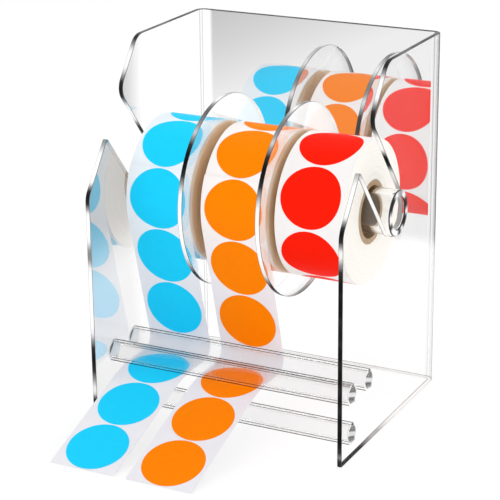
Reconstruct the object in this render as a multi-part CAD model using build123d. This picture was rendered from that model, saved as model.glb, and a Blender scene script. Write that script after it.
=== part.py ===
from build123d import *
from math import asin, atan2, cos, degrees, hypot, pi, radians, sin, sqrt, tan
import os

# Label roll holder: a clear bent body with a slanted slot in each side, a hollow rod that
# lies in the slots and carries three label rolls and two round dividers, and three hollow
# guide tubes near the bottom front, under which two label strips run out to the front.
# X is to the right, Y is to the back and Z is up. In the side view, depth is counted
# forward from the outside of the back wall.

# Labels, and the liner that carries them
label_radius = 19
label_gap = 1
label_thickness = 0.3
liner_margin = 2.5
strip_thickness = 0.5
tight_label_gap = 1.4

# Rod
rod_radius = 14
rod_wall = 4
rod_overhang = 3
rod_clearance = 0.3

# Label rolls
roll_radius = 44
core_play = 2
core_wall = 3.5
winding_gap = 0.05
left_wall_gap = 8
right_wall_gap = 11.5

# Dividers
divider_rim = 15.5
divider_thickness = 3
divider_roll_gap = 0.5
left_divider_slack = 4.5
right_divider_slack = 2
divider_back_gap = 10.5
divider_front_gap = 14.5
divider_top_gap = 34.5
divider_guide_gap = 30.7

# Guide tubes
guide_radius = 6.8
guide_wall = 1.5
guide_floor_gap = 5.2
guide_height_gap = 11.4
guide_depth_gap = 10.9
guide_front_gap = 14.7

# Clear body, with a slot in each side
sheet_thickness = 3
bend_radius = 6
front_slope = 53
knee_radius = 12
mouth_knee_radius = 10
tip_radius = 1.5
slot_angle = 50.5
slot_clearance = 0.5
upper_lip_length = 71
lower_lip_length = 62.5

# Hanging strips
strip_roll_clearance = 0.3
strip_guide_clearance = 0.1
strip_joint_gap = 0.3
strip_joint_above_guide = 3
under_guides_run = 14.3
lead_bend_radius = 80
lead_slope = 19
blue_label_angle = 5.4
orange_label_angle = 4.8
red_label_angle = 24
outline_steps = 16

# Sizes across, from the left wall to the right one
label_pitch = 2 * label_radius + label_gap
roll_width = 2 * (label_radius + liner_margin)
left_roll_gap = divider_roll_gap + divider_thickness + left_divider_slack
right_roll_gap = divider_roll_gap + divider_thickness + right_divider_slack
inner_width = left_wall_gap + 3 * roll_width + left_roll_gap + right_roll_gap + right_wall_gap
inner_half_width = inner_width / 2
half_width = inner_half_width + sheet_thickness
blue_roll_left = left_wall_gap - inner_half_width
orange_roll_left = blue_roll_left + roll_width + left_roll_gap
red_roll_left = orange_roll_left + roll_width + right_roll_gap
roll_lefts = {"blue": blue_roll_left, "orange": orange_roll_left, "red": red_roll_left}
label_angles = {"blue": blue_label_angle, "orange": orange_label_angle, "red": red_label_angle}

# Sizes in the side view, from the back wall forward and from the floor up
divider_radius = roll_radius + divider_rim
seat_depth = sheet_thickness + divider_back_gap + divider_radius
body_depth = seat_depth + divider_radius + divider_front_gap
front_guide_depth = body_depth - guide_front_gap - guide_radius
rear_guide_depth = front_guide_depth - 2 * guide_radius - guide_depth_gap
lower_guide_height = guide_floor_gap + guide_radius
upper_guide_height = lower_guide_height + 2 * guide_radius + guide_height_gap
seat_height = upper_guide_height + guide_radius + divider_guide_gap + divider_radius
body_height = seat_height + divider_radius + divider_top_gap
core_bore_radius = rod_radius + core_play
core_radius = core_bore_radius + core_wall
roll_height = seat_height + rod_clearance - core_play
roll_centre = (seat_depth, roll_height)
seat_radius = rod_radius + slot_clearance
guides = {
    "rear": (rear_guide_depth, upper_guide_height),
    "front": (front_guide_depth, upper_guide_height),
    "lower": (front_guide_depth, lower_guide_height),
}
quarter_turn = 90


# Route of a strip in the side view. Each leg is a line or an arc of the strip's middle
# surface: start point, start direction, length, and curvature (positive turns upward).
def direction(angle):
    return (cos(radians(angle)), sin(radians(angle)))


def along(leg, distance):
    (depth, height), angle, _, bend = leg
    if bend == 0:
        ahead = direction(angle)
        return (depth + ahead[0] * distance, height + ahead[1] * distance), angle
    turned = angle + degrees(distance * bend)
    ahead_start, ahead_end = radians(angle), radians(turned)
    return (depth + (sin(ahead_end) - sin(ahead_start)) / bend,
            height - (cos(ahead_end) - cos(ahead_start)) / bend), turned


wrap_radius = roll_radius + label_thickness + strip_roll_clearance + strip_thickness / 2
guide_wrap_radius = guide_radius + strip_guide_clearance + label_thickness + strip_thickness / 2
centres_forward = rear_guide_depth - seat_depth
centres_down = roll_height - upper_guide_height
centres_apart = hypot(centres_forward, centres_down)
crossing = degrees(asin((wrap_radius + guide_wrap_radius) / centres_apart))
lean_back = crossing - degrees(atan2(centres_forward, centres_down))
straight_drop = sqrt(centres_apart**2 - (wrap_radius + guide_wrap_radius)**2)


def wrapped_route(label_angle):
    """Legs of the strip, from the gap above the label at label_angle down to its end."""
    wrap_angle = label_angle + lean_back + degrees(label_pitch / 2 / wrap_radius)
    top = lean_back * -1 + wrap_angle
    start = (roll_centre[0] + wrap_radius * cos(radians(top)),
             roll_centre[1] + wrap_radius * sin(radians(top)))
    legs = [(start, top - quarter_turn, wrap_radius * radians(wrap_angle), -1 / wrap_radius)]
    for length, bend in (
        (straight_drop, 0),
        (guide_wrap_radius * radians(quarter_turn + lean_back), 1 / guide_wrap_radius),
        (under_guides_run, 0),
        (lead_bend_radius * radians(lead_slope), -1 / lead_bend_radius),
    ):
        point, angle = along(legs[-1], legs[-1][2])
        legs.append((point, angle, length, bend))
    point, angle = along(legs[-1], legs[-1][2])
    rest_height = strip_thickness / 2 * cos(radians(lead_slope))
    last_length = (point[1] - rest_height) / sin(radians(lead_slope))
    legs.append((point, angle, last_length, 0))
    return legs


def position(legs, distance):
    """Point and direction at a distance along the whole route."""
    for leg in legs[:-1]:
        if distance <= leg[2]:
            return along(leg, distance)
        distance -= leg[2]
    return along(legs[-1], distance)


def cut_route(legs, first, last):
    """The legs between two distances along the route."""
    kept = []
    reached = 0
    for leg in legs:
        low, high = max(first - reached, 0), min(last - reached, leg[2])
        if high > low:
            point, angle = along(leg, low)
            kept.append((point, angle, high - low, leg[3]))
        reached += leg[2]
    return kept


blue_route = wrapped_route(label_angles["blue"])
strip_end, _ = position(blue_route, sum(leg[2] for leg in blue_route))
strip_reach = strip_end[0] + strip_thickness / 2 * sin(radians(lead_slope))

# The origin is at the middle of the whole object's floor area.
back_y = strip_reach / 2


def side_plane(x, depth=0, height=0):
    return Plane((x, back_y - depth, height), x_dir=(0, -1, 0), z_dir=(-1, 0, 0))


def ring(left, right, centre, radius, bore_radius):
    section = Circle(radius) - Circle(bore_radius)
    return extrude(side_plane(right, *centre) * section, right - left)


# Clear body, bent from one sheet
slot_way = direction(slot_angle)
slot_up = (-slot_way[1], slot_way[0])


def slot_point(up_the_slot, across):
    return (seat_depth + slot_way[0] * up_the_slot + slot_up[0] * across,
            seat_height + slot_way[1] * up_the_slot + slot_up[1] * across)


mouth_knee = slot_point(upper_lip_length, seat_radius)
tip = slot_point(lower_lip_length, -seat_radius)
top_knee = (mouth_knee[0] - (body_height - mouth_knee[1]) / tan(radians(front_slope)), body_height)
front_knee = (body_depth, tip[1] - (body_depth - tip[0]) * tan(radians(front_slope)))


def side_outline():
    edge = Polyline(slot_point(0, seat_radius), mouth_knee, top_knee, (0, body_height), (0, 0),
                    (body_depth, 0), front_knee, tip, slot_point(0, -seat_radius))
    seat = ThreePointArc(slot_point(0, -seat_radius), slot_point(-seat_radius, 0),
                         slot_point(0, seat_radius))
    face = Sketch() + make_face(edge.edges() + seat.edges())
    for corner, radius in ((top_knee, knee_radius), (mouth_knee, mouth_knee_radius),
                           (tip, tip_radius), (front_knee, knee_radius)):
        nearest = face.vertices().sort_by_distance(Vector(*corner, 0))[0]
        face = fillet(nearest, radius)
    return face


def plan_outline(inset):
    """Plan of the body's outside, or of its inside when inset by the sheet."""
    half, reach = half_width - inset, body_depth + (sheet_thickness if inset else 0)
    face = make_face(Polyline((-half, back_y - inset), (half, back_y - inset),
                              (half, back_y - reach), (-half, back_y - reach), close=True))
    rear = face.vertices().sort_by(Axis.Y)[-2:]
    return fillet(rear, bend_radius - inset)


def bent_body():
    walls = extrude(plan_outline(0) - plan_outline(sheet_thickness), body_height)
    return walls & extrude(side_plane(half_width) * side_outline(), 2 * half_width)


# Strips and labels
def band(legs, inner, outer, left, right):
    """A strip's solid between two offsets from its route, such as its two faces."""
    def offset_side(offset):
        edges = []
        for leg in legs:
            points = []
            for distance in (0, leg[2] / 2, leg[2]):
                (depth, height), angle = along(leg, distance)
                ahead = direction(angle)
                points.append((depth - ahead[1] * offset, height + ahead[0] * offset))
            edges.append(Line(points[0], points[2]) if leg[3] == 0 else ThreePointArc(*points))
        return edges, edges[0] @ 0, edges[-1] @ 1

    low, low_start, low_end = offset_side(inner)
    high, high_start, high_end = offset_side(outer)
    section = make_face(low + high + [Line(low_start, high_start), Line(low_end, high_end)])
    return extrude(side_plane(right) * section, right - left)


def label_curl(radius):
    """How much a label's length looks shorter where it is wrapped round that radius."""
    return radius / label_radius * sin(label_radius / radius)


def label_column(legs, distance, x, squash):
    """A column square to the strip at a label's middle, to cut the label from its band."""
    (depth, height), angle = position(legs, distance)
    ahead = direction(angle)
    face = Plane((x, back_y - depth, height), x_dir=(1, 0, 0), z_dir=(0, ahead[1], ahead[0]))
    return extrude(face * Ellipse(label_radius, label_radius * squash), label_radius / 2, both=True)


def bent_label_column(legs, distance, x):
    """An upright column with the plan of a round label that bends along the strip."""
    outline = []
    for side in (1, -1):
        for step in range(outline_steps):
            turn = pi * (step / outline_steps) + (0 if side == 1 else pi)
            (depth, _), _ = position(legs, distance - label_radius * cos(turn))
            outline.append((x + label_radius * sin(turn), back_y - depth))
    return extrude(Plane.XY * make_face(Polyline(*outline, close=True)), upper_guide_height)


def strip(colour):
    """The hanging drop, the lead under the guides, and the labels on each."""
    left = roll_lefts[colour]
    right, x = left + roll_width, left + roll_width / 2
    legs = wrapped_route(label_angles[colour])
    length = sum(leg[2] for leg in legs)
    joint = legs[0][2] + legs[1][2] - strip_joint_above_guide
    drop = cut_route(legs, 0, joint)
    lead = cut_route(legs, joint + strip_joint_gap, length)
    half = strip_thickness / 2
    drop_solid = band(drop, -half, half, left, right)
    lead_solid = band(lead, -half, half, left, right)
    drop_face = band(drop, half, half + label_thickness, left, right)
    lead_face = band(lead, half, half + label_thickness, left, right)
    off_guide = sum(leg[2] for leg in legs[:3])
    drop_room = joint + label_gap / 2
    lead_room = length - joint - strip_joint_gap + label_gap / 2
    drop_labels, lead_labels = [], []
    for step in range(int(drop_room // label_pitch)):
        middle = label_pitch / 2 + label_pitch * step
        squash = label_curl(wrap_radius) if middle < legs[0][2] else 1
        drop_labels.append(drop_face & label_column(legs, middle, x, squash))
    for step in range(int(lead_room // label_pitch)):
        middle = length - label_pitch / 2 - label_pitch * step
        if middle > off_guide + label_radius:
            column = label_column(legs, middle, x, 1)
        else:
            column = bent_label_column(legs, middle, x)
        lead_labels.append(lead_face & column)
    return drop_solid, lead_solid, drop_labels, lead_labels


def roll_labels(colour):
    """The labels on the roll's outer turn, evenly spaced."""
    left = roll_lefts[colour]
    shell = ring(left, left + roll_width, roll_centre, roll_radius + label_thickness, roll_radius)
    labels_per_turn = int(2 * pi * roll_radius // (2 * label_radius + tight_label_gap))
    first = label_angles[colour]
    if colour != "red":
        first += degrees(label_pitch / (roll_radius + label_thickness))
    labels = []
    for step in range(labels_per_turn):
        angle = first + 360 / labels_per_turn * step
        out = direction(angle)
        face = Plane((left + roll_width / 2, back_y - roll_centre[0], roll_centre[1]),
                     x_dir=(1, 0, 0), z_dir=(0, -out[0], out[1]))
        section = face * Ellipse(label_radius, label_radius * label_curl(roll_radius))
        column = extrude(section, roll_radius + label_radius)
        labels.append(shell & column)
    return labels


def group(solids, name):
    pieces = [solid for shape in solids for solid in shape.solids()]
    return Compound(children=pieces, label=name)


def save(name, shape):
    shape.label = name
    export_step(shape, f"parts/{name}.step")


os.makedirs("parts", exist_ok=True)

save("bent_body", bent_body())
save("roll_rod", ring(-half_width - rod_overhang, half_width + rod_overhang,
                      (seat_depth, seat_height), rod_radius, rod_radius - rod_wall))

for name, centre in guides.items():
    save(f"guide_tube_{name}",
         ring(-inner_half_width, inner_half_width, centre, guide_radius, guide_radius - guide_wall))

for name, colour in (("left", "blue"), ("right", "orange")):
    divider_left = roll_lefts[colour] + roll_width + divider_roll_gap
    save(f"divider_{name}",
         ring(divider_left, divider_left + divider_thickness, (seat_depth, seat_height),
              divider_radius, rod_radius + rod_clearance))

for colour, left in roll_lefts.items():
    right = left + roll_width
    save(f"core_{colour}", ring(left, right, roll_centre, core_radius, core_bore_radius))
    save(f"wound_liner_{colour}",
         ring(left, right, roll_centre, roll_radius, core_radius + winding_gap))
    save(f"roll_labels_{colour}", group(roll_labels(colour), f"roll_labels_{colour}"))

for colour in ("blue", "orange"):
    drop_solid, lead_solid, drop_labels, lead_labels = strip(colour)
    save(f"strip_drop_{colour}", drop_solid)
    save(f"strip_lead_{colour}", lead_solid)
    save(f"drop_labels_{colour}", group(drop_labels, f"drop_labels_{colour}"))
    save(f"lead_labels_{colour}", group(lead_labels, f"lead_labels_{colour}"))

print("strip length", round(sum(leg[2] for leg in blue_route), 1),
      "reach", round(strip_reach, 2), "back at y", round(back_y, 3),
      "roll height", round(roll_height, 2), "lean back", round(lean_back, 2))
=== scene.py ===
from math import acos, asin, atan2, ceil, cos, degrees, exp, hypot, pi, radians, sin, sqrt, tan
from random import Random

import bmesh
import bpy
from mathutils import Matrix, Vector
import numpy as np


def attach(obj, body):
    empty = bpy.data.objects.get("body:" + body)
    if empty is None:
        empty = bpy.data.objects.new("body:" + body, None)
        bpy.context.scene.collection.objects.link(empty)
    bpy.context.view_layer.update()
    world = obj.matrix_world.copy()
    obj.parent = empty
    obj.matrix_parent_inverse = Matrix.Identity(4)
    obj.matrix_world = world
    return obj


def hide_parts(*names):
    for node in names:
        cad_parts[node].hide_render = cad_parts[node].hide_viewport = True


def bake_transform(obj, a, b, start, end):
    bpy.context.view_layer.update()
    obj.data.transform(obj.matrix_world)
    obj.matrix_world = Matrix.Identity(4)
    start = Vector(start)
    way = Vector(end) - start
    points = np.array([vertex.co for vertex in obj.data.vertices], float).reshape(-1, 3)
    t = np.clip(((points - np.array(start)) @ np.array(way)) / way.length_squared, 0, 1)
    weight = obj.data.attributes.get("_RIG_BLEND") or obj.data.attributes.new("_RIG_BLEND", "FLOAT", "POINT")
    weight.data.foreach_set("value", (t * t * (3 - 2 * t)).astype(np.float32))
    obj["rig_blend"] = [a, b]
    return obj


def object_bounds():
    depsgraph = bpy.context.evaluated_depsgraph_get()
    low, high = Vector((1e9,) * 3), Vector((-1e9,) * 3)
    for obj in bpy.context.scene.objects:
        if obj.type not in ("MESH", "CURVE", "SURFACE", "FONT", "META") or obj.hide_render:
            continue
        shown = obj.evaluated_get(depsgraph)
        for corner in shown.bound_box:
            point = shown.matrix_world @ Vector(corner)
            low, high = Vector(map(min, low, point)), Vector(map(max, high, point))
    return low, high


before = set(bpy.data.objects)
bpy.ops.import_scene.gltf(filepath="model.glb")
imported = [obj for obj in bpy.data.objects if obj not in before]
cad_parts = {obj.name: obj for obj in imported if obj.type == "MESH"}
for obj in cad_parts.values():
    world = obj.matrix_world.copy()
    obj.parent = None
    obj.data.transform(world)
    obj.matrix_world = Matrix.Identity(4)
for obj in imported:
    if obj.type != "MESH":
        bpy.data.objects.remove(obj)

cad_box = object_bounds()
scene = bpy.context.scene
scene.view_settings.view_transform = "Standard"


# Camera
# It stands a good metre away from the holder, to the right of it and above it, and looks
# down into its open front through a long lens.
camera_place = Vector((0.482363, -0.937927, 0.480070))
camera_pan, camera_tilt, camera_roll = radians(26.958), radians(-19.398), radians(-0.578)
camera_lens = 134.377
level = radians(90)

eye = bpy.data.cameras.new("camera")
eye.lens = camera_lens
camera = bpy.data.objects.new("camera", eye)
scene.collection.objects.link(camera)
camera.matrix_world = (
    Matrix.Translation(camera_place)
    @ Matrix.Rotation(camera_pan, 4, "Z")
    @ Matrix.Rotation(level + camera_tilt, 4, "X")
    @ Matrix.Rotation(camera_roll, 4, "Z")
)
scene.camera = camera


# Studio
# A white floor and a white room, lit evenly, with a large soft lamp at the upper left, a
# weaker one at the right and one behind. High up, what the clear parts mirror or bend also
# shows dark cloths hung between the lamps.
room_light = 0.84
floor_reach, floor_drop = 4.0, 0.0003
floor_shine_through = 0.72
cloth_bands = ((0.0, 1.0), (0.18, 1.0), (0.30, 0.12), (0.46, 0.12), (0.58, 1.0), (0.80, 1.0),
               (0.92, 0.25), (1.0, 0.25))
lamps = {
    "soft_lamp": ((-0.75, -0.9, 1.35), 1.1, 6.0),
    "fill_lamp": ((1.1, -0.7, 0.7), 0.9, 2.5),
    "rear_lamp": ((0.25, 0.9, 0.9), 0.8, 5.0),
}
lamp_aim = Vector((0, 0, 0.12))


def grey(tone):
    return (tone, tone, tone, 1)


def feed(tree, value, entry):
    """Sets an input to a plain value, or links it to a socket."""
    if isinstance(value, bpy.types.NodeSocket):
        tree.links.new(value, entry)
    else:
        entry.default_value = value


def add_node(tree, kind, settings=(), **inputs):
    """A node with its settings, and a plain value or a socket for each input named."""
    node = tree.nodes.new(kind)
    for key, value in dict(settings).items():
        setattr(node, key, value)
    for key, value in inputs.items():
        feed(tree, value, node.inputs[key.replace("_", " ")])
    return node


def math_node(tree, operation, first, second):
    """A sum of two sockets or numbers, by the operation's name."""
    node = add_node(tree, "ShaderNodeMath", {"operation": operation})
    feed(tree, first, node.inputs[0])
    feed(tree, second, node.inputs[1])
    return node.outputs[0]


def ramp(tree, share, stops):
    """A run of greys over a share, from stops (share, grey)."""
    node = add_node(tree, "ShaderNodeValToRGB", Fac=share)
    elements = node.color_ramp.elements
    while len(elements) < len(stops):
        elements.new(1)
    for element, (place, tone) in zip(elements, stops):
        element.position = place
        element.color = grey(tone)
    return node.outputs["Color"]


def mix_shaders(tree, share, first, second):
    """One shader at share 0 and another at share 1."""
    node = add_node(tree, "ShaderNodeMixShader")
    for entry, socket in zip(node.inputs, (share, first, second)):
        tree.links.new(socket, entry)
    return node.outputs[0]


def seen_share(tree):
    """1 where the camera, a mirror or a clear part looks, and 0 where light falls."""
    path = add_node(tree, "ShaderNodeLightPath").outputs
    looked_at = math_node(tree, "MAXIMUM", path["Is Camera Ray"], path["Is Glossy Ray"])
    return math_node(tree, "MAXIMUM", looked_at, path["Is Transmission Ray"])


room = scene.world or bpy.data.worlds.new("room")
scene.world = room
room.use_nodes = True
tree = room.node_tree
tree.nodes.clear()
direction = add_node(tree, "ShaderNodeTexCoord").outputs["Generated"]
height = add_node(tree, "ShaderNodeSeparateXYZ", Vector=direction).outputs["Z"]
lit = add_node(tree, "ShaderNodeBackground", Color=grey(1), Strength=room_light)
seen = add_node(tree, "ShaderNodeBackground", Color=ramp(tree, height, cloth_bands))
backdrop = add_node(tree, "ShaderNodeBackground", Color=grey(1))
around = mix_shaders(tree, seen_share(tree), lit.outputs[0], seen.outputs[0])
camera_ray = add_node(tree, "ShaderNodeLightPath").outputs["Is Camera Ray"]
add_node(tree, "ShaderNodeOutputWorld",
         Surface=mix_shaders(tree, camera_ray, around, backdrop.outputs[0]))

floor_finish = bpy.data.materials.new("white_floor")
floor_finish.use_nodes = True
tree = floor_finish.node_tree
tree.nodes.clear()
matt = add_node(tree, "ShaderNodeBsdfDiffuse", Color=grey(1))
glow = add_node(tree, "ShaderNodeEmission", Color=grey(1), Strength=1.0)
glowing = math_node(tree, "MULTIPLY", seen_share(tree), floor_shine_through)
add_node(tree, "ShaderNodeOutputMaterial",
         Surface=mix_shaders(tree, glowing, matt.outputs[0], glow.outputs[0]))

floor_mesh = bpy.data.meshes.new("floor")
floor_mesh.from_pydata([(x * floor_reach, y * floor_reach, -floor_drop)
                        for x, y in ((-1, -1), (1, -1), (1, 1), (-1, 1))], [], [(0, 1, 2, 3)])
floor_mesh.materials.append(floor_finish)
floor = bpy.data.objects.new("floor", floor_mesh)
scene.collection.objects.link(floor)

for name, (place, width, power) in lamps.items():
    bulb = bpy.data.lights.new(name, "AREA")
    bulb.size, bulb.energy = width, power
    lamp = bpy.data.objects.new(name, bulb)
    lamp.visible_glossy = lamp.visible_transmission = False
    lamp.location = place
    lamp.rotation_euler = (lamp_aim - lamp.location).to_track_quat("-Z", "Y").to_euler()
    scene.collection.objects.link(lamp)


# Clear body
# One sheet of 3 mm clear cast acrylic, laser-cut with a slanted slot in each wing, flame
# polished on its edges, and bent square over two hot wires into two sides and a back. Its
# back is a strong mirror from the front, and its left side a weak one.
sheet = 0.003
body_width, body_depth, body_height = 0.168, 0.147, 0.228
back_y = cad_box[1][1]
bend_outer = 0.006
front_slope, slot_slope = radians(53), radians(50.5)
seat_depth, seat_height, seat_radius = 0.073, 0.134, 0.0145
upper_lip, lower_lip = 0.071, 0.0625
knee_radius, mouth_radius, tip_radius = 0.012, 0.010, 0.0015
polish_radius = 0.0004
corner_steps, bend_steps, polish_steps = 12, 12, 3
edge_step = 0.003
weld_distance = 0.00001
flat_share, upright_share = 0.9, 0.1


def rounded_outline(corners, steps):
    """Points of a closed outline whose corners (x, y, radius) are rounded."""
    points = []
    for i, (x, y, radius) in enumerate(corners):
        corner = Vector((x, y))
        if not radius:
            points.append(corner)
            continue
        before = (Vector(corners[i - 1][:2]) - corner).normalized()
        after = (Vector(corners[(i + 1) % len(corners)][:2]) - corner).normalized()
        half_angle = acos(before.dot(after)) / 2
        centre = corner + (before + after).normalized() * radius / sin(half_angle)
        first = corner + before * radius / tan(half_angle) - centre
        last = corner + after * radius / tan(half_angle) - centre
        turn = first.angle_signed(last)
        for step in range(steps + 1):
            points.append(centre + Matrix.Rotation(-turn * step / steps, 2) @ first)
    return points


def with_stops(points, step):
    """The same closed outline with points along its straight runs, at most a step apart."""
    fine = []
    for here, there in zip(points, points[1:] + points[:1]):
        parts = ceil((there - here).length / step)
        fine += [here.lerp(there, part / parts) for part in range(parts)]
    return fine


def slot_point(along, across, radius=0):
    """A corner (depth, height, radius) from the rod's seat, along the slot and across it."""
    return (seat_depth + cos(slot_slope) * along - sin(slot_slope) * across,
            seat_height + sin(slot_slope) * along + cos(slot_slope) * across, radius)


mouth = slot_point(upper_lip, seat_radius, mouth_radius)
tip = slot_point(lower_lip, -seat_radius, tip_radius)
top_knee = (mouth[0] - (body_height - mouth[1]) / tan(front_slope), body_height, knee_radius)
front_knee = (body_depth, tip[1] - (body_depth - tip[0]) * tan(front_slope), knee_radius)
wing = [(body_depth, 0, 0), front_knee, tip, slot_point(-seat_radius, -seat_radius, seat_radius),
        slot_point(-seat_radius, seat_radius, seat_radius), mouth, top_knee]
bend_middle = bend_outer - sheet / 2
bend_length = bend_middle * pi / 2
flat_half_back = body_width / 2 - bend_outer
wing_start = flat_half_back + bend_length


def cut_blank():
    """The sheet before it is bent: u along it, v up and w through it. It is cut across at
    each step of the two bends."""
    unrolled = [(wing_start + depth - bend_outer, height, radius)
                for depth, height, radius in wing]
    outline = rounded_outline(
        unrolled + [(-u, v, radius) for u, v, radius in reversed(unrolled)], corner_steps)
    bm = bmesh.new()
    bm.verts.layers.float.new("across")
    bm.verts.layers.float.new("shadow")
    bm.faces.new([bm.verts.new((u, v, -sheet / 2)) for u, v in with_stops(outline, edge_step)])
    for side in (-1, 1):
        for step in range(bend_steps + 1):
            cut = side * (flat_half_back + bend_length * step / bend_steps)
            bmesh.ops.bisect_plane(bm, geom=bm.verts[:] + bm.edges[:] + bm.faces[:],
                                   plane_co=(cut, 0, 0), plane_no=(1, 0, 0))
    raised = bmesh.ops.extrude_face_region(bm, geom=bm.faces[:])["geom"]
    bmesh.ops.translate(bm, vec=(0, 0, sheet),
                        verts=[v for v in raised if isinstance(v, bmesh.types.BMVert)])
    bmesh.ops.recalc_face_normals(bm, faces=bm.faces)
    return bm


def polish(bm):
    """Rounds the arrises between the flat sheet's two sides and its cut edge."""
    arrises = []
    for edge in bm.edges:
        if len(edge.link_faces) == 2:
            first, second = (abs(face.normal.z) for face in edge.link_faces)
            if first + second > flat_share and first * second < upright_share:
                arrises.append(edge)
    bmesh.ops.bevel(bm, geom=arrises, offset=polish_radius, segments=polish_steps, profile=0.5,
                    affect="EDGES", clamp_overlap=True)
    bmesh.ops.remove_doubles(bm, verts=bm.verts, dist=weld_distance)


body_surfaces = ("bend", "edge", "back", "left_side", "wings")


def surface_of(face):
    """Which surface of the body a face of the flat sheet belongs to."""
    u = face.calc_center_median().x
    inside = face.normal.z < -flat_share
    if abs(face.normal.z) < flat_share:
        return "edge"
    if inside and abs(u) < flat_half_back:
        return "back"
    if abs(u) > wing_start:
        return "left_side" if inside and u < 0 else "wings"
    return "bend"


# painted dark reflections on the wings' edges: depth, height, how far they reach and how dark they are
edge_shadows = {
    "both": [(*top_knee[:2], 0.010, 0.8), (*mouth[:2], 0.013, 1.0), (*tip[:2], 0.010, 0.45),
             (*front_knee[:2], 0.009, 1.0), (body_depth, 0, 0.006, 1.0),
             (*slot_point(upper_lip * 0.45, seat_radius)[:2], 0.009, 0.9)],
    "left": [(body_depth, height, reach, strength) for height, reach, strength in (
        (0.105, 0.009, 0.5), (0.037, 0.017, 1.0), (0.009, 0.0065, 1.0))],
    "right": [(body_depth, height, 0.016, 1.0)
              for height in (0.112, 0.098, 0.084, 0.070, 0.056, 0.042, 0.030, 0.018)],
}
edge_band = polish_radius * 1.5
top_edge_shadow = 0.72
bottom_shadow_rear, bottom_shadow_front = -0.6, 1.0


def edge_shadow(side, depth, height):
    """How dark the edge's painted reflection is at a place of the left or the right half of the body."""
    shadows = [strength * exp(-(hypot(depth - place, height - rise) / reach) ** 2)
               for place, rise, reach, strength in edge_shadows["both"] + edge_shadows[side]]
    if height < edge_band:
        forward = max(0, depth / body_depth)
        shadows.append(bottom_shadow_rear + (bottom_shadow_front - bottom_shadow_rear) * forward)
    elif height > body_height - edge_band:
        shadows.append(top_edge_shadow)
    return max(shadows)


def bent(u, v, w):
    """Where a point of the flat sheet comes to lie when the sheet is bent."""
    side, run = (1 if u > 0 else -1), abs(u)
    if run <= flat_half_back:
        x, depth = run, sheet / 2 - w
    elif run < wing_start:
        turned = (run - flat_half_back) / bend_middle
        x = flat_half_back + (bend_middle + w) * sin(turned)
        depth = bend_outer - (bend_middle + w) * cos(turned)
    else:
        x, depth = body_width / 2 - sheet / 2 + w, bend_outer + run - wing_start
    return side * x, back_y - depth, v


bm = cut_blank()
polish(bm)
for face in bm.faces:
    face.material_index = body_surfaces.index(surface_of(face))
across, shadow = (bm.verts.layers.float[layer] for layer in ("across", "shadow"))
for vert in bm.verts:
    u, v, w = vert.co
    vert[across] = w / (sheet / 2)
    vert[shadow] = edge_shadow("right" if u > 0 else "left", abs(u) - wing_start + bend_outer, v)
    vert.co = bent(u, v, w)
bmesh.ops.recalc_face_normals(bm, faces=bm.faces)
if bm.calc_volume(signed=True) < 0:
    bmesh.ops.reverse_faces(bm, faces=bm.faces)
body_mesh = bpy.data.meshes.new("clear_body")
bm.to_mesh(body_mesh)
bm.free()

sheet_bending, sheet_smears = 1.49, 0.03
sheet_calm, bend_calm = 0.98, 0.94
smear_scale, smear_detail = 35.0, 3.0
shadow_clearness = 0.97
mirror_roughness = 0.02


def new_finish(name, **surface):
    """A plain finish with values for its surface, its node tree and its main shader."""
    finish = bpy.data.materials.new(name)
    finish.use_nodes = True
    body = finish.node_tree.nodes["Principled BSDF"]
    for key, value in surface.items():
        body.inputs[key.replace("_", " ")].default_value = value
    return finish, finish.node_tree, body


def mix_tones(tree, share, first, second):
    """One colour at share 0 and another at share 1."""
    node = add_node(tree, "ShaderNodeMix", {"data_type": "RGBA"})
    for entry, value in ((0, share), (6, first), (7, second)):
        feed(tree, value, node.inputs[entry])
    return node.outputs[2]


def object_point(tree):
    return add_node(tree, "ShaderNodeTexCoord").outputs["Object"]


def object_axes(tree):
    return add_node(tree, "ShaderNodeSeparateXYZ", Vector=object_point(tree)).outputs


def object_noise(tree, scale, detail, roughness=0.5):
    return add_node(tree, "ShaderNodeTexNoise", Vector=object_point(tree), Scale=scale,
                    Detail=detail, Roughness=roughness).outputs["Fac"]


def attribute(tree, name):
    return add_node(tree, "ShaderNodeAttribute", {"attribute_name": name}).outputs["Fac"]


def linear_range(tree, source, low, high, start=0.0, end=1.0):
    """An even run from start, where the source is low, to end, where it is high."""
    return add_node(tree, "ShaderNodeMapRange", Value=source, From_Min=low, From_Max=high,
                    To_Min=start, To_Max=end).outputs["Result"]


def smooth_range(tree, source, low, high):
    """A smooth rise from 0 at low to 1 at high."""
    return add_node(tree, "ShaderNodeMapRange", {"interpolation_type": "SMOOTHSTEP"},
                    Value=source, From_Min=low, From_Max=high).outputs["Result"]


def mix_in(finish, share, shader):
    """Covers a finish with another shader, by a share, except for rays from lamps."""
    tree = finish.node_tree
    surface = tree.nodes["Material Output"].inputs["Surface"]
    lamp_ray = add_node(tree, "ShaderNodeLightPath").outputs["Is Shadow Ray"]
    lit = math_node(tree, "SUBTRACT", 1.0, lamp_ray)
    covered = mix_shaders(tree, math_node(tree, "MULTIPLY", lit, share),
                          surface.links[0].from_socket, shader.outputs[0])
    tree.links.new(covered, surface)


def calm(finish, share, clearness=1.0):
    """Lets a share of the view straight through a clear finish, a little dimmed if asked."""
    mix_in(finish, share, add_node(finish.node_tree, "ShaderNodeBsdfTransparent",
                                   Color=grey(clearness)))
    return finish


def hide_in_mirrors(finish):
    """Leaves a finish out of what its polished neighbours reflect."""
    tree = finish.node_tree
    bounces = add_node(tree, "ShaderNodeLightPath").outputs["Glossy Depth"]
    mix_in(finish, math_node(tree, "MINIMUM", bounces, 1.0),
           add_node(tree, "ShaderNodeBsdfTransparent"))
    return finish


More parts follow.
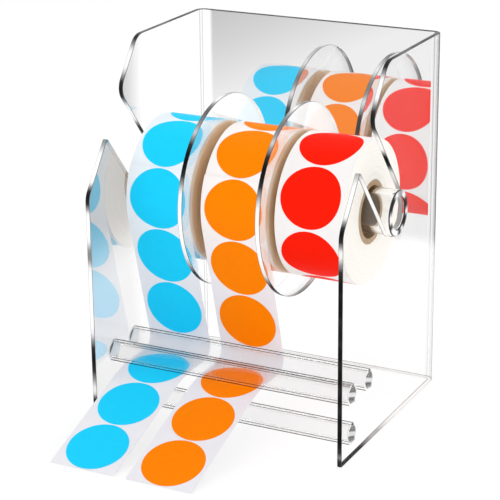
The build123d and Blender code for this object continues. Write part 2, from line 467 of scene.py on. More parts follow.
def add_mirror(finish, share, tint, mask):
    """Makes a clear finish reflect more on its outer side, by a share and a mask. The tint is
    a colour or a socket."""
    tree = finish.node_tree
    behind = add_node(tree, "ShaderNodeNewGeometry").outputs["Backfacing"]
    outside = math_node(tree, "SUBTRACT", 1.0, behind)
    mirror = add_node(tree, "ShaderNodeBsdfGlossy", Roughness=mirror_roughness, Color=tint)
    mix_in(finish, math_node(tree, "MULTIPLY", outside, math_node(
        tree, "MULTIPLY", mask, share)), mirror)
    return finish


def clear_acrylic(name, bending=sheet_bending, smears=sheet_smears):
    """Polished clear plastic, wiped unevenly clean, that lets the lamps' light through."""
    finish, tree, body = new_finish(name, Base_Color=grey(1), IOR=bending, Roughness=0.0,
                                    Transmission_Weight=1.0)
    if smears:
        wipe = object_noise(tree, smear_scale, smear_detail)
        feed(tree, linear_range(tree, wipe, 0, 1, 0, smears), body.inputs["Roughness"])
    lamp_ray = add_node(tree, "ShaderNodeLightPath").outputs["Is Shadow Ray"]
    passing = add_node(tree, "ShaderNodeBsdfTransparent", Color=grey(shadow_clearness))
    feed(tree, mix_shaders(tree, lamp_ray, body.outputs[0], passing.outputs[0]),
         tree.nodes["Material Output"].inputs["Surface"])
    return finish


# painted reflections on polished edges: light and dark greys, streaks and dark lines
edge_roughness, edge_gloss = 0.2, 0.06
streak_scale, streak_detail, streak_depth = 38.0, 1.0, 0.5
edge_greys = ((0.0, 0.98), (0.25, 0.85), (0.5, 0.3), (0.75, 0.03), (1.0, 0.004))
line_start, line_full = 0.7, 0.9


def painted_reflection_edge(name, line_tone):
    """Edge of clear plastic: painted light and dark reflections streaked along it between two painted dark
    lines.
    """
    finish, tree, body = new_finish(name, Roughness=edge_roughness,
                                    Specular_IOR_Level=edge_gloss)
    drift = object_noise(tree, streak_scale, streak_detail)
    streak = math_node(tree, "MULTIPLY", math_node(tree, "SUBTRACT", drift, 0.5), streak_depth)
    core = ramp(tree, math_node(tree, "ADD", attribute(tree, "shadow"), streak), edge_greys)
    away = math_node(tree, "ABSOLUTE", attribute(tree, "across"), 0.0)
    feed(tree, mix_tones(tree, smooth_range(tree, away, line_start, line_full), core, line_tone),
         body.inputs["Base Color"])
    return finish


mirror_bottom, mirror_full = 0.086, 0.100
mirror_left, mirror_left_full = -0.0755, -0.0725
back_mirror = 0.955
mirror_tilt = 0.4
# painted shade: the mirror's reflection is greyer towards the upper left
mirror_greys = ((0.0, 0.50), (0.16, 0.62), (0.35, 0.81), (0.6, 0.82), (1.0, 0.80))


def back_finish():
    """The back: a strong mirror above the foot of the rolls, greyed at its upper left by painted shade."""
    finish = calm(clear_acrylic("clear_back"), sheet_calm)
    tree = finish.node_tree
    axes = object_axes(tree)
    above = smooth_range(tree, axes["Z"], mirror_bottom, mirror_full)
    inwards = smooth_range(tree, axes["X"], mirror_left, mirror_left_full)
    rightwards = linear_range(tree, axes["X"], -body_width / 2, body_width / 2, 0, mirror_tilt)
    down = linear_range(tree, axes["Z"], body_height, body_height / 2, 0, 1 - mirror_tilt)
    greys = ramp(tree, math_node(tree, "ADD", rightwards, down), mirror_greys)
    add_mirror(finish, back_mirror, greys, math_node(tree, "MULTIPLY", above, inwards))
    return hide_in_mirrors(finish)


side_mirror_low, side_mirror_high = 0.53, 0.82
side_mirror_back, side_mirror_front = 0.03, 0.0
side_fade = (0.080, 0.125)
# painted shade: the side's reflection is greyer higher up
side_greys = ((0.0, 0.78), (1.0, 0.52))


def left_side_finish():
    """The inside of the left side: a weak mirror in front, stronger and greyed by painted shade higher up.
    """
    finish = calm(clear_acrylic("clear_side"), sheet_calm)
    tree = finish.node_tree
    axes = object_axes(tree)
    up = smooth_range(tree, axes["Z"], *side_fade)
    in_front = smooth_range(tree, axes["Y"], side_mirror_back, side_mirror_front)
    stronger = linear_range(tree, up, 0, 1, side_mirror_low, side_mirror_high)
    add_mirror(finish, 1.0, ramp(tree, up, side_greys),
               math_node(tree, "MULTIPLY", in_front, stronger))
    return hide_in_mirrors(finish)


# painted dark lines and painted shade on the bends, drawn in a dark grey
bend_lines = ((0.165, 0.0), (0.223, 1.0), (0.281, 0.0), (0.37, 0.0), (0.427, 1.0), (0.485, 0.0))
bend_shades = ((0.0, 0.0), (0.06, 0.2), (0.35, 0.28), (0.75, 0.8), (1.0, 1.0))
bend_line_shade, bend_edge_shade, low_edge_shade = 0.45, 0.85, 0.28
bend_grey = 0.05


def bend_finish():
    """The bends: two faint painted dark lines on the left one, and a painted grey shade across the right
    one.
    """
    finish = calm(clear_acrylic("clear_sheet"), bend_calm)
    tree = finish.node_tree
    axes = object_axes(tree)
    half = body_width / 2
    on_left = linear_range(tree, axes["X"], -half, bend_outer - half)
    on_right = linear_range(tree, axes["X"], half - bend_outer, half)
    depth = linear_range(tree, smooth_range(tree, axes["Z"], mirror_bottom, mirror_full),
                         0, 1, low_edge_shade, bend_edge_shade)
    lines = math_node(tree, "MULTIPLY", ramp(tree, on_left, bend_lines), bend_line_shade)
    shades = math_node(tree, "MULTIPLY", ramp(tree, on_right, bend_shades), depth)
    mix_in(finish, math_node(tree, "ADD", lines, shades),
           add_node(tree, "ShaderNodeBsdfDiffuse", Color=grey(bend_grey)))
    return finish


def put(name, mesh, *finishes):
    """A piece made of a mesh that is already in its place."""
    for finish in finishes:
        mesh.materials.append(finish)
    piece = bpy.data.objects.new(name, mesh)
    scene.collection.objects.link(piece)
    return piece


def even_normals(piece):
    """Large faces keep their own direction, and the polished arrises turn between them."""
    for face in piece.data.polygons:
        face.use_smooth = True
    weights = piece.modifiers.new("even", "WEIGHTED_NORMAL")
    weights.keep_sharp = False
    shown = piece.evaluated_get(bpy.context.evaluated_depsgraph_get())
    piece.data = bpy.data.meshes.new_from_object(shown)
    piece.modifiers.clear()


body_finishes = {
    "bend": bend_finish(),
    "edge": hide_in_mirrors(painted_reflection_edge("painted_reflection_edge", (0.10, 0.10, 0.105, 1))),
    "back": back_finish(),
    "left_side": left_side_finish(),
    "wings": hide_in_mirrors(calm(clear_acrylic("clear_wing"), sheet_calm)),
}
clear_body = put("clear_body", body_mesh, *(body_finishes[name] for name in body_surfaces))
even_normals(clear_body)
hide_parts("bent_body")
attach(clear_body, "holder")


# Rod
# A length of clear extruded acrylic tube, 28 mm across with a 4 mm wall, sawn to length
# and polished at its ends, which stand out 3 mm past the sides.
rod_radius, rod_bore, rod_half_length = 0.014, 0.010, 0.087
rod_place = (back_y - seat_depth, seat_height)
rod_steps = 96
rod_arris = 0.001
# painted dark reflections round an edge: where they are and how wide, in degrees, and how dark
rod_dark_turns = ((38, 26, 1.0), (100, 26, 0.5), (158, 24, 0.9), (218, 22, 1.0),
                  (265, 16, 0.7), (335, 12, 0.7))


def turned(profile, place, steps):
    """Points and faces of a closed profile of (x, radius) turned about a line along X."""
    count = len(profile)
    points = []
    for step in range(steps):
        y, z = cos(2 * pi * step / steps), sin(2 * pi * step / steps)
        points += [(x, place[0] + r * y, place[1] + r * z) for x, r in profile]
    faces = []
    for step in range(steps):
        here, there = step * count, (step + 1) % steps * count
        for i in range(count):
            j = (i + 1) % count
            faces.append((here + i, here + j, there + j, there + i))
    return points, [], faces


def turn_shadow(angle, dark_turns):
    """How dark the painted reflection on a round edge is at an angle."""
    return max((depth * exp(-(((angle - turn + 180) % 360 - 180) / width) ** 2)
                for turn, width, depth in dark_turns), default=0)


def ring(name, left, right, place, radius, bore, arris, steps, finish, edge=None, dark_turns=()):
    """A tube or disc along X with polished arrises, and painted reflections streaked on its ends or on its
    rim.
    """
    profile = rounded_outline([(left, bore, arris), (right, bore, arris),
                               (right, radius, arris), (left, radius, arris)], polish_steps)
    mesh = bpy.data.meshes.new(name)
    mesh.from_pydata(*turned(profile, place, steps))
    if edge:
        thin = right - left < radius - bore
        across = mesh.attributes.new("across", "FLOAT", "POINT")
        shadow = mesh.attributes.new("shadow", "FLOAT", "POINT")
        for i, vert in enumerate(mesh.vertices):
            out = Vector((vert.co.y - place[0], vert.co.z - place[1]))
            reach = (vert.co.x - (left + right) / 2) / (right - left) if thin else (
                (out.length - (radius + bore) / 2) / (radius - bore))
            across.data[i].value = reach * 2
            shadow.data[i].value = turn_shadow(degrees(atan2(out.y, -out.x)), dark_turns)
        for face in mesh.polygons:
            sideways = abs(face.normal.x)
            on_edge = sideways < flat_share if thin else sideways > upright_share
            face.material_index = 1 if on_edge else 0
    piece = put(name, mesh, finish, *([edge] if edge else []))
    even_normals(piece)
    return piece


rim_finish = painted_reflection_edge("painted_reflection_rim", (0.035, 0.035, 0.037, 1))
rod = ring("rod_tube", -rod_half_length, rod_half_length, rod_place, rod_radius, rod_bore,
           rod_arris, rod_steps, clear_acrylic("clear_rod_tube"), rim_finish, rod_dark_turns)
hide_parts("roll_rod")
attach(rod, "rod")


# Dividers
# Two round plates of 3 mm clear acrylic with a polished rim and a bore that slides on the
# rod. They stand between the rolls and keep them apart.
divider_lefts = {"left": -0.0295, "right": 0.0215}
divider_radius, divider_bore = 0.0595, 0.0143
divider_steps = 200
# painted dark reflections round the plates' rims
divider_dark_turns = ((33, 17, 1.0), (64, 20, 0.62), (98, 20, 0.5), (128, 16, 0.55),
                      (158, 16, 1.0), (305, 20, 1.0), (268, 18, 0.75), (215, 10, 0.6))
core_hang = 0.0017
roll_place = (back_y - seat_depth, seat_height - core_hang)
sheen_lean = radians(21.6)
sheen_low, sheen_high = 0.0440, 0.0452
sheen_share, sheen_tone = 0.75, 0.97
plate_calm = 0.75


def vector_node(tree, operation, first, second=(0, 0, 0)):
    """A node for a sum of two vectors, by the operation's name."""
    node = add_node(tree, "ShaderNodeVectorMath", {"operation": operation})
    feed(tree, first, node.inputs[0])
    feed(tree, second, node.inputs[1])
    return node


def plate_finish(name):
    """A clear plate that mirrors the white room on its upper part, clear of the rolls."""
    finish = calm(clear_acrylic(name), plate_calm)
    tree = finish.node_tree
    leaning = Vector((0, sin(sheen_lean), cos(sheen_lean)))
    above = vector_node(tree, "DOT_PRODUCT", object_point(tree), leaning)
    start = leaning.dot((0, *roll_place))
    return add_mirror(finish, sheen_share, grey(sheen_tone), smooth_range(
        tree, above.outputs["Value"], start + sheen_low, start + sheen_high))


for name, left in divider_lefts.items():
    divider = ring(f"divider_plate_{name}", left, left + sheet, rod_place, divider_radius,
                   divider_bore, polish_radius, divider_steps, plate_finish(f"clear_plate_{name}"),
                   rim_finish, divider_dark_turns)
    divider.visible_diffuse = False
    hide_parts(f"divider_{name}")
    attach(divider, f"{name}_divider")


# Guide tubes
# Three clear acrylic tubes, 13.6 mm across with a thin wall, cemented between the sides.
# The strips pass behind the rear one, under both upper ones and over the lower one.
guide_radius, guide_bore, guide_half_length = 0.0068, 0.0053, 0.081
guide_places = {"rear": (0.101, 0.037), "front": (0.1255, 0.037), "lower": (0.1255, 0.012)}
guide_steps = 64
guide_arris = 0.0003
# painted dark reflections round the tubes' ends
guide_dark_turns = ((95, 16, 1.0), (240, 14, 0.5))
guide_bending = 1.3
guide_calm, guide_clearness = 0.9, 0.975
# painted shade on the tubes' walls where they are seen edge-on
wall_start, wall_full, wall_grey = 0.64, 0.74, 0.01
end_view_start, end_view_full = 0.1, 0.4


def tube_finish(name):
    """A clear tube along X with painted shade where its wall is seen edge-on, which darkens its
    outline but not the whole tube where it is seen from its end."""
    finish = calm(clear_acrylic(name, guide_bending, 0.0), guide_calm, guide_clearness)
    tree = finish.node_tree
    edge_on = add_node(tree, "ShaderNodeLayerWeight").outputs["Facing"]
    along = add_node(tree, "ShaderNodeCombineXYZ", X=1.0).outputs[0]
    aside = add_node(tree, "ShaderNodeLayerWeight", Normal=along).outputs["Facing"]
    dark = math_node(tree, "MULTIPLY", smooth_range(tree, aside, end_view_start, end_view_full),
                     smooth_range(tree, edge_on, wall_start, wall_full))
    mix_in(finish, dark, add_node(tree, "ShaderNodeBsdfDiffuse", Color=grey(wall_grey)))
    return hide_in_mirrors(finish)


film_radius, film_thickness, film_inset = 0.0052, 0.0001, 0.00015
film_roughness, film_gloss = 0.3, 0.1
film_places = {"left": film_inset - guide_half_length,
               "right": guide_half_length - film_inset - film_thickness}
film_shares = {"left": 0.6, "right": 0.92}
film_leans = {"left": radians(-50), "right": radians(20)}
# painted reflections and shade in the tubes' ends: grey bands across each film
film_bands = {"left": ((0.0, 0.95), (0.74, 0.95), (0.80, 0.02), (1.0, 0.01)),
              "right": ((0.0, 0.45), (0.12, 0.22), (0.26, 0.09), (0.33, 0.12), (0.41, 0.75),
                        (0.58, 0.75), (0.66, 0.14), (0.72, 0.12), (0.80, 0.20), (0.88, 0.12),
                        (1.0, 0.35))}


def joint_film(name, side, place):
    """The film of cement that closes a tube's bore against the side, painted in grey bands of
    reflection and shade that follow each other along a line leaning back from the upright."""
    finish, tree, body = new_finish(name, Roughness=film_roughness,
                                    Specular_IOR_Level=film_gloss)
    feed(tree, ramp(tree, attribute(tree, "height"), film_bands[side]),
         body.inputs["Base Color"])
    hide_in_mirrors(calm(finish, 1 - film_shares[side]))
    turns = [2 * pi * step / guide_steps for step in range(guide_steps)]
    points = [(x, place[0] + film_radius * cos(turn), place[1] + film_radius * sin(turn))
              for x in (film_places[side], film_places[side] + film_thickness) for turn in turns]
    front = list(range(guide_steps))
    faces = [front[::-1], [guide_steps + i for i in front]]
    faces += [(i, (i + 1) % guide_steps, guide_steps + (i + 1) % guide_steps, guide_steps + i)
              for i in front]
    mesh = bpy.data.meshes.new(name)
    mesh.from_pydata(points, [], faces)
    share_up = mesh.attributes.new("height", "FLOAT", "POINT")
    for (_, y, z), value in zip(points, share_up.data):
        along = (z - place[1]) * cos(film_leans[side]) + (y - place[0]) * sin(film_leans[side])
        value.value = 0.5 + along / film_radius / 2
    film = put(name, mesh, finish)
    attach(film, "holder")


tube_edge = hide_in_mirrors(painted_reflection_edge("tube_edge", (0.60, 0.60, 0.61, 1)))
for name, (depth, height) in guide_places.items():
    place = (back_y - depth, height)
    tube = ring(f"guide_{name}", -guide_half_length, guide_half_length, place, guide_radius,
                guide_bore, guide_arris, guide_steps, tube_finish(f"clear_guide_{name}"),
                tube_edge, guide_dark_turns)
    tube.visible_shadow = tube.visible_diffuse = False
    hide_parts(f"guide_tube_{name}")
    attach(tube, "holder")
    for side in film_places:
        joint_film(f"joint_film_{name}_{side}", side, place)


# Cores
# Tubes of brown board, wound on a slant from strips of grey paper and cut to the width of
# the roll. They hang on the rod, which is a little thinner than their bore.
core_bore, core_radius = 0.016, 0.0195
roll_width = 0.043
roll_lefts = {"blue": -0.073, "orange": -0.022, "red": 0.0265}
core_steps = 96
core_arris = 0.0002
fibre_scale, fibre_detail, fibre_roughness = 900.0, 6.0, 0.65
fibre_relief, fibre_depth = 0.35, 0.0002
board_gloss = 0.05


def mottle(tree, body, pattern, share, dark, light, relief, depth):
    """Gives a surface two tones, mixed by a share, and a slight relief that follows a
    pattern."""
    feed(tree, mix_tones(tree, share, dark, light), body.inputs["Base Color"])
    bump = add_node(tree, "ShaderNodeBump", Strength=relief, Distance=depth, Height=pattern)
    feed(tree, bump.outputs["Normal"], body.inputs["Normal"])


def fibre_board(name, dark, light, roughness):
    """Uncoated board: fibres, flecks and a dull surface."""
    finish, tree, body = new_finish(name, Roughness=roughness, Specular_IOR_Level=board_gloss)
    fibres = object_noise(tree, fibre_scale, fibre_detail, fibre_roughness)
    mottle(tree, body, fibres, fibres, dark, light, fibre_relief, fibre_depth)
    return finish


def axis_distance(point, place):
    """How far a point is from a line along X through a place (y, z)."""
    return hypot(point.y - place[0], point.z - place[1])


board = fibre_board("brown_board", (0.36, 0.23, 0.13, 1), (0.62, 0.45, 0.30, 1), 0.85)
# a darker copy of the board for the inside of the bore: painted shade in the hollow
painted_shade_bore_board = fibre_board("painted_shade_bore_board", (0.15, 0.06, 0.008, 1), (0.34, 0.16, 0.03, 1), 0.9)
for colour, left in roll_lefts.items():
    core = ring(f"board_core_{colour}", left, left + roll_width, roll_place, core_radius,
                core_bore, core_arris, core_steps, board)
    core.data.materials.append(painted_shade_bore_board)
    for face in core.data.polygons:
        inside = axis_distance(face.center, roll_place) < (core_bore + core_radius) / 2
        if inside and abs(face.normal.x) < upright_share:
            face.material_index = 1
    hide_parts(f"core_{colour}")
    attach(core, f"{colour}_roll")


# Wound rolls
# Some sixty turns of pale release liner with labels on it, wound tight on each core. The
# cut edges of the turns show on the sides as fine rings of cream paper.
roll_radius = 0.04395
winding_gap = 0.00005
turns_shown = 36
turn_wander = 0.00012
groove_share = 0.1
roll_steps = 160
roll_seed = {"blue": 3, "orange": 5, "red": 8}
turn_scale, turn_detail = 1500.0, 4.0
turn_dark, turn_light = 0.3, 0.62
turn_relief, turn_depth = 0.4, 0.0003
turn_roughness = 0.75


def shaded_distance(tree, place):
    """How far a shaded point is from a line along X through a place (y, z)."""
    centred = add_node(tree, "ShaderNodeMapping", Vector=object_point(tree),
                       Location=(0, -place[0], -place[1]), Scale=(0, 1, 1))
    return vector_node(tree, "LENGTH", centred.outputs[0]).outputs["Value"]


def liner_edges(name, dark, light):
    """The sides of a roll: the edges of many turns of paper."""
    finish, tree, body = new_finish(name, Roughness=turn_roughness)
    rings = add_node(tree, "ShaderNodeTexNoise", {"noise_dimensions": "1D"}, Scale=turn_scale,
                     Detail=turn_detail, W=shaded_distance(tree, roll_place)).outputs["Fac"]
    mottle(tree, body, rings, linear_range(tree, rings, turn_dark, turn_light), dark, light,
           turn_relief, turn_depth)
    return finish


cloud_scale, cloud_detail, cloud_roughness = 60.0, 5.0, 0.6
liner_relief, liner_depth = 0.15, 0.0002
paper_roughness = 0.42
liner_fade = (0.060, 0.130)


def release_liner(name, dark, light, lower=None):
    """Smooth pale glassine paper with a faint sheen, in other tones lower down if given: painted shade."""
    finish, tree, body = new_finish(name, Roughness=paper_roughness)
    clouds = object_noise(tree, cloud_scale, cloud_detail, cloud_roughness)
    if lower:
        up = smooth_range(tree, object_axes(tree)["Z"], *liner_fade)
        dark, light = (mix_tones(tree, up, low_tone, high_tone)
                       for low_tone, high_tone in zip(lower, (dark, light)))
    mottle(tree, body, clouds, clouds, dark, light, liner_relief, liner_depth)
    return finish


# painted shade: the sides that face a neighbouring roll are a darker tan copy of the cream
painted_gap_shade_edges = liner_edges("painted_gap_shade_liner_edges", (0.74, 0.50, 0.31, 1), (0.89, 0.70, 0.48, 1))
outer_edges = liner_edges("cream_liner_edges", (0.91, 0.86, 0.78, 1), (0.98, 0.96, 0.91, 1))
# painted light: each roll's liner is tinted by the glow of its labels' colour
liner_tones = {
    "blue": ((0.76, 0.84, 0.90, 1), (0.84, 0.90, 0.95, 1)),
    "orange": ((0.88, 0.82, 0.81, 1), (0.94, 0.90, 0.88, 1)),
    "red": ((0.84, 0.82, 0.81, 1), (0.92, 0.90, 0.89, 1)),
}
for colour, left in roll_lefts.items():
    wander = Random(roll_seed[colour])
    right = left + roll_width
    inner = core_radius + winding_gap
    turn = (roll_radius - inner) / turns_shown
    left_side, right_side = [], []
    for step in range(turns_shown):
        low, high = inner + turn * step, inner + turn * (step + 1)
        for side, x, inwards in ((right_side, right, -1), (left_side, left, 1)):
            inset = x + inwards * wander.uniform(0, turn_wander)
            side += [(inset, low + turn * groove_share), (inset, high - turn * groove_share)]
    profile = ([(left + turn_wander, inner), (right - turn_wander, inner)] + right_side
               + [(right - turn_wander, roll_radius), (left + turn_wander, roll_radius)]
               + left_side[::-1])
    mesh = bpy.data.meshes.new(f"wound_roll_{colour}")
    mesh.from_pydata(*turned(profile, roll_place, roll_steps))
    roll = put(f"wound_roll_{colour}", mesh, outer_edges if colour == "blue" else painted_gap_shade_edges,
               release_liner(f"{colour}_roll_liner", *liner_tones[colour]),
               outer_edges if colour == "red" else painted_gap_shade_edges)
    outermost = roll_radius - turn * groove_share / 2
    for face in mesh.polygons:
        outside = axis_distance(face.center, roll_place) > outermost
        if outside and abs(face.normal.x) < upright_share:
            face.material_index = 1
        elif face.center.x > left + roll_width / 2:
            face.material_index = 2
    even_normals(roll)
    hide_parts(f"wound_liner_{colour}")
    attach(roll, f"{colour}_roll")


# Labels on the rolls
# Round labels of glossy coated paper, 38 mm across, die-cut on the liner in one row and
# wound with it. Seven of them show on each roll's outer turn.
label_radius = 0.019
label_thickness = 0.00012
label_lift = 0.00001
labels_per_turn = 7
label_pitch = 0.039
label_grid = 25
circle_steps = 240
label_angles = {"blue": 5.4, "orange": 4.8, "red": 24.0}
label_colours = {"blue": (0.012, 0.64, 0.99, 1), "orange": (1.0, 0.235, 0.0, 1),
                 "red": (0.97, 0.012, 0.002, 1)}
print_scale, print_detail, print_roughness = 220.0, 4.0, 0.6
print_relief, print_depth = 0.08, 0.0001
print_gloss, print_dark = 0.03, 0.92
crisp_angle = radians(40)
seam_gap = 0.000001


def coated_paper(name, colour):
    """Printed paper with a soft sheen: an even colour with the faintest mottle."""
    finish, tree, body = new_finish(name, Roughness=paper_roughness,
                                    Specular_IOR_Level=print_gloss)
    grain = object_noise(tree, print_scale, print_detail, print_roughness)
    darker = [channel * print_dark for channel in colour[:3]] + [1]
    mottle(tree, body, grain, grain, darker, colour, print_relief, print_depth)
    return finish


def new_tree(name, inputs):
    """A node tree for a modifier: its named inputs after its geometry, and its output."""
    tree = bpy.data.node_groups.new(name, "GeometryNodeTree")
    tree.interface.new_socket("Geometry", in_out="INPUT", socket_type="NodeSocketGeometry")
    tree.interface.new_socket("Geometry", in_out="OUTPUT", socket_type="NodeSocketGeometry")
    for title, kind in inputs.items():
        tree.interface.new_socket(title, in_out="INPUT", socket_type=f"NodeSocket{kind}")
    given, result = tree.nodes.new("NodeGroupInput"), tree.nodes.new("NodeGroupOutput")
    return tree, given.outputs, result.inputs["Geometry"]


def position_axes(tree):
    place = add_node(tree, "GeometryNodeInputPosition").outputs[0]
    return add_node(tree, "ShaderNodeSeparateXYZ", Vector=place).outputs


def thicken(tree, flat, thickness):
    """Closes a flat mesh into a thin sheet that stands up from it."""
    up = add_node(tree, "GeometryNodeExtrudeMesh", Mesh=flat, Offset_Scale=thickness,
                  Individual=False)
    under = add_node(tree, "GeometryNodeFlipFaces", Mesh=flat)
    both = add_node(tree, "GeometryNodeJoinGeometry")
    for half in (under, up):
        tree.links.new(half.outputs["Mesh"], both.inputs["Geometry"])
    return add_node(tree, "GeometryNodeMergeByDistance", Geometry=both.outputs["Geometry"],
                    Distance=seam_gap).outputs["Geometry"]


def lay_on_path(tree, flat, path, start, lift):
    """Lays a sheet along a path in the side view: its Y runs along the path from start."""
    axes = position_axes(tree)
    sample = add_node(tree, "GeometryNodeSampleCurve", {"mode": "LENGTH", "use_all_curves": True},
                      Curves=path, Length=math_node(tree, "ADD", axes["Y"], start)).outputs
    off_path = vector_node(tree, "CROSS_PRODUCT", sample["Tangent"], (1, 0, 0))
    raised = vector_node(tree, "SCALE", off_path.outputs[0])
    feed(tree, math_node(tree, "ADD", axes["Z"], lift), raised.inputs["Scale"])
    on_line = vector_node(tree, "ADD", sample["Position"], raised.outputs[0])
    aside = add_node(tree, "ShaderNodeCombineXYZ", X=axes["X"])
    placed = vector_node(tree, "ADD", on_line.outputs[0], aside.outputs[0])
    laid = add_node(tree, "GeometryNodeSetPosition", Geometry=flat, Position=placed.outputs[0])
    return add_node(tree, "GeometryNodeFlipFaces",
                    Mesh=laid.outputs["Geometry"]).outputs["Mesh"]


def dress(tree, bare, finish):
    """Rounded faces with crisp cut edges, real meshes, and their finish."""
    angle = add_node(tree, "GeometryNodeInputMeshEdgeAngle").outputs["Unsigned Angle"]
    sharp = add_node(tree, "FunctionNodeCompare", {"data_type": "FLOAT",
                     "operation": "GREATER_THAN"}, A=angle, B=crisp_angle)
    crisp = add_node(tree, "GeometryNodeSetShadeSmooth", {"domain": "EDGE"}, Geometry=bare,
                     Selection=sharp.outputs["Result"], Shade_Smooth=False)
    real = add_node(tree, "GeometryNodeRealizeInstances", Geometry=crisp.outputs["Geometry"])
    return add_node(tree, "GeometryNodeSetMaterial", Geometry=real.outputs["Geometry"],
                    Material=finish).outputs["Geometry"]


def label_row_tree():
    """Round labels in a row along a path."""
    tree, given, result = new_tree("label_row", {
        "Label radius": "Float", "Label pitch": "Float", "First label": "Float", "Labels": "Int",
        "Thickness": "Float", "Lift": "Float", "Finish": "Material"})

    def rounded(along, aside):
        """Draws a square grid from -1 to 1 in to a disc, along one of its axes."""
        square = math_node(tree, "MULTIPLY", 0.5, math_node(tree, "MULTIPLY", aside, aside))
        drawn_in = math_node(tree, "SQRT", math_node(tree, "SUBTRACT", 1.0, square), 0.0)
        return math_node(tree, "MULTIPLY", math_node(tree, "MULTIPLY", along, drawn_in),
                         given["Label radius"])

    flat = add_node(tree, "GeometryNodeMeshGrid", Size_X=2.0, Size_Y=2.0, Vertices_X=label_grid,
                    Vertices_Y=label_grid)
    axes = position_axes(tree)
    outline = add_node(tree, "ShaderNodeCombineXYZ", X=rounded(axes["X"], axes["Y"]),
                       Y=rounded(axes["Y"], axes["X"]))
    disc = add_node(tree, "GeometryNodeSetPosition", Geometry=flat.outputs["Mesh"],
                    Position=outline.outputs[0])
    label = thicken(tree, disc.outputs["Geometry"], given["Thickness"])
    spots = add_node(tree, "GeometryNodePoints", Count=given["Labels"])
    index = add_node(tree, "GeometryNodeInputIndex").outputs[0]
    run = math_node(tree, "ADD", given["First label"], math_node(
        tree, "MULTIPLY", index, given["Label pitch"]))
    marked = add_node(tree, "GeometryNodeStoreNamedAttribute", {"data_type": "FLOAT",
                      "domain": "POINT"}, Name="run", Geometry=spots.outputs[0], Value=run)
    copies = add_node(tree, "GeometryNodeInstanceOnPoints", Points=marked.outputs["Geometry"],
                      Instance=label)
    real = add_node(tree, "GeometryNodeRealizeInstances", Geometry=copies.outputs[0])
    start = add_node(tree, "GeometryNodeInputNamedAttribute", {"data_type": "FLOAT"}, Name="run")
    laid = lay_on_path(tree, real.outputs["Geometry"], given["Geometry"],
                       start.outputs["Attribute"], given["Lift"])
    feed(tree, dress(tree, laid, given["Finish"]), result)
    return tree


def path_curve(name, x, points, closed=False):
    """A path in the side view, at x, through points (depth, height)."""
    curve = bpy.data.curves.new(name, "CURVE")
    curve.dimensions = "3D"
    line = curve.splines.new("POLY")
    line.points.add(len(points) - 1)
    for knot, (depth, height) in zip(line.points, points):
        knot.co = (x, back_y - depth, height, 1)
    line.use_cyclic_u = closed
    path = bpy.data.objects.new(name, curve)
    scene.collection.objects.link(path)
    return path


def made_by_tree(name, path, tree, values):
    """Runs a tree on a path and keeps the plain mesh that comes out."""
    work = path.modifiers.new("work", "NODES")
    work.node_group = tree
    keys = {item.name: item.identifier for item in tree.interface.items_tree
            if item.in_out == "INPUT"}
    for title, value in values.items():
        work[keys[title]] = value
    path.update_tag()
    shown = path.evaluated_get(bpy.context.evaluated_depsgraph_get())
    mesh = bpy.data.meshes.new_from_object(shown)
    mesh.name = name
    if "run" in mesh.attributes:
        mesh.attributes.remove(mesh.attributes["run"])
    path.modifiers.remove(work)
    return put(name, mesh)


label_row = label_row_tree()
label_finishes = {colour: coated_paper(f"{colour}_coated_paper", value)
                  for colour, value in label_colours.items()}
spacing = 2 * pi / labels_per_turn
for colour, left in roll_lefts.items():
    first = radians(label_angles[colour])
    if colour != "red":
        first += label_pitch / roll_radius
    start = first + spacing / 2
    turns = [start - 2 * pi * step / circle_steps for step in range(circle_steps)]
    circle = [(seat_depth + roll_radius * cos(turn), roll_place[1] + roll_radius * sin(turn))
              for turn in turns]
    path = path_curve(f"turn_{colour}", left + roll_width / 2, circle, closed=True)
    row = made_by_tree(f"labels_on_roll_{colour}", path, label_row, {
        "Label radius": label_radius, "Label pitch": spacing * roll_radius,
        "First label": spacing * roll_radius / 2, "Labels": labels_per_turn,
        "Thickness": label_thickness, "Lift": label_lift, "Finish": label_finishes[colour]})
    bpy.data.objects.remove(path)
    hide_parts(f"roll_labels_{colour}")
    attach(row, f"{colour}_roll")


# Hanging strips
# The loose ends of the blue and orange rolls: liner with its labels, drawn down off the
# front of the roll, behind and under the guide tubes and out to the front over the table.
strip_thickness = 0.00025
strip_radius = roll_radius + 0.0005
guide_wrap_radius = 0.00745
under_guides_run = 0.0143
lead_bend_radius = 0.080
lead_slope = radians(19)
path_step = 0.001
strip_columns = 7


def strip_path(label_angle):
    """Points (depth, height) from above the first label on the roll down to the strip's end."""
    rear_depth, rear_height = guide_places["rear"]
    forward, down = rear_depth - seat_depth, roll_place[1] - rear_height
    apart = hypot(forward, down)
    lean = asin((strip_radius + guide_wrap_radius) / apart) - atan2(forward, down)
    drop = sqrt(apart ** 2 - (strip_radius + guide_wrap_radius) ** 2)
    wrap = label_angle + lean + label_pitch / 2 / strip_radius
    top = wrap - lean
    place = Vector((seat_depth + strip_radius * cos(top),
                    roll_place[1] + strip_radius * sin(top)))
    heading = top - level
    points = [place.copy()]
    for length, bend in ((strip_radius * wrap, -1 / strip_radius), (drop, 0),
                         (guide_wrap_radius * (level + lean), 1 / guide_wrap_radius),
                         (under_guides_run, 0),
                         (lead_bend_radius * lead_slope, -1 / lead_bend_radius), (None, 0)):
        if length is None:
            length = (place.y - strip_thickness / 2 * cos(lead_slope)) / sin(lead_slope)
        steps = max(1, round(length / path_step))
        for _ in range(steps):
            heading += bend * length / steps / 2
            place = place + Vector((cos(heading), sin(heading))) * length / steps
            heading += bend * length / steps / 2
            points.append(place.copy())
    return points


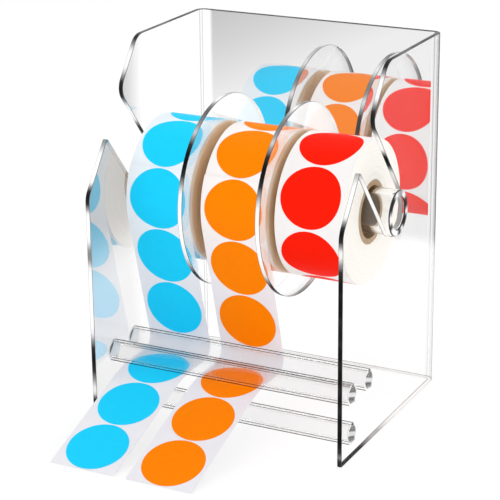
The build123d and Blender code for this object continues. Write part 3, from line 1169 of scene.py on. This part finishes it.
def liner_strip_tree():
    """A flat strip laid along the whole of a path."""
    tree, given, result = new_tree("liner_strip", {
        "Width": "Float", "Length": "Float", "Steps": "Int", "Thickness": "Float",
        "Lift": "Float", "Finish": "Material"})
    flat = add_node(tree, "GeometryNodeMeshGrid", Size_X=given["Width"], Size_Y=given["Length"],
                    Vertices_X=strip_columns, Vertices_Y=given["Steps"])
    ribbon = thicken(tree, flat.outputs["Mesh"], given["Thickness"])
    start = math_node(tree, "MULTIPLY", given["Length"], 0.5)
    laid = lay_on_path(tree, ribbon, given["Geometry"], start, given["Lift"])
    feed(tree, dress(tree, laid, given["Finish"]), result)
    return tree


liner_strip = liner_strip_tree()
# painted shade: the strips are greyer lower down
low_tones = ((0.76, 0.76, 0.81, 1), (0.85, 0.85, 0.89, 1))
row_labels = 3
blend_low = (0, back_y - 0.0950, 0.0415)
blend_high = (0, back_y - 0.1165, 0.1225)
for colour in ("blue", "orange"):
    points = strip_path(radians(label_angles[colour]))
    length = sum((b - a).length for a, b in zip(points, points[1:]))
    path = path_curve(f"strip_path_{colour}", roll_lefts[colour] + roll_width / 2, points)
    strip_finish = release_liner(f"{colour}_strip_liner", *liner_tones[colour], low_tones)
    ribbon = made_by_tree(f"strip_{colour}", path, liner_strip, {
        "Width": roll_width, "Length": length, "Steps": round(length / path_step),
        "Thickness": strip_thickness, "Lift": -strip_thickness / 2, "Finish": strip_finish})
    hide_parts(f"strip_drop_{colour}", f"strip_lead_{colour}")
    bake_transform(ribbon, "holder", "rod", blend_low, blend_high)
    for part, first in (("drop", label_pitch / 2),
                        ("lead", length - label_pitch * (row_labels - 0.5))):
        row = made_by_tree(f"labels_on_{part}_{colour}", path, label_row, {
            "Label radius": label_radius, "Label pitch": label_pitch, "First label": first,
            "Labels": row_labels, "Thickness": label_thickness,
            "Lift": strip_thickness / 2 + label_lift, "Finish": label_finishes[colour]})
        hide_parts(f"{part}_labels_{colour}")
        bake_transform(row, "holder", "rod", blend_low, blend_high)
    bpy.data.objects.remove(path)
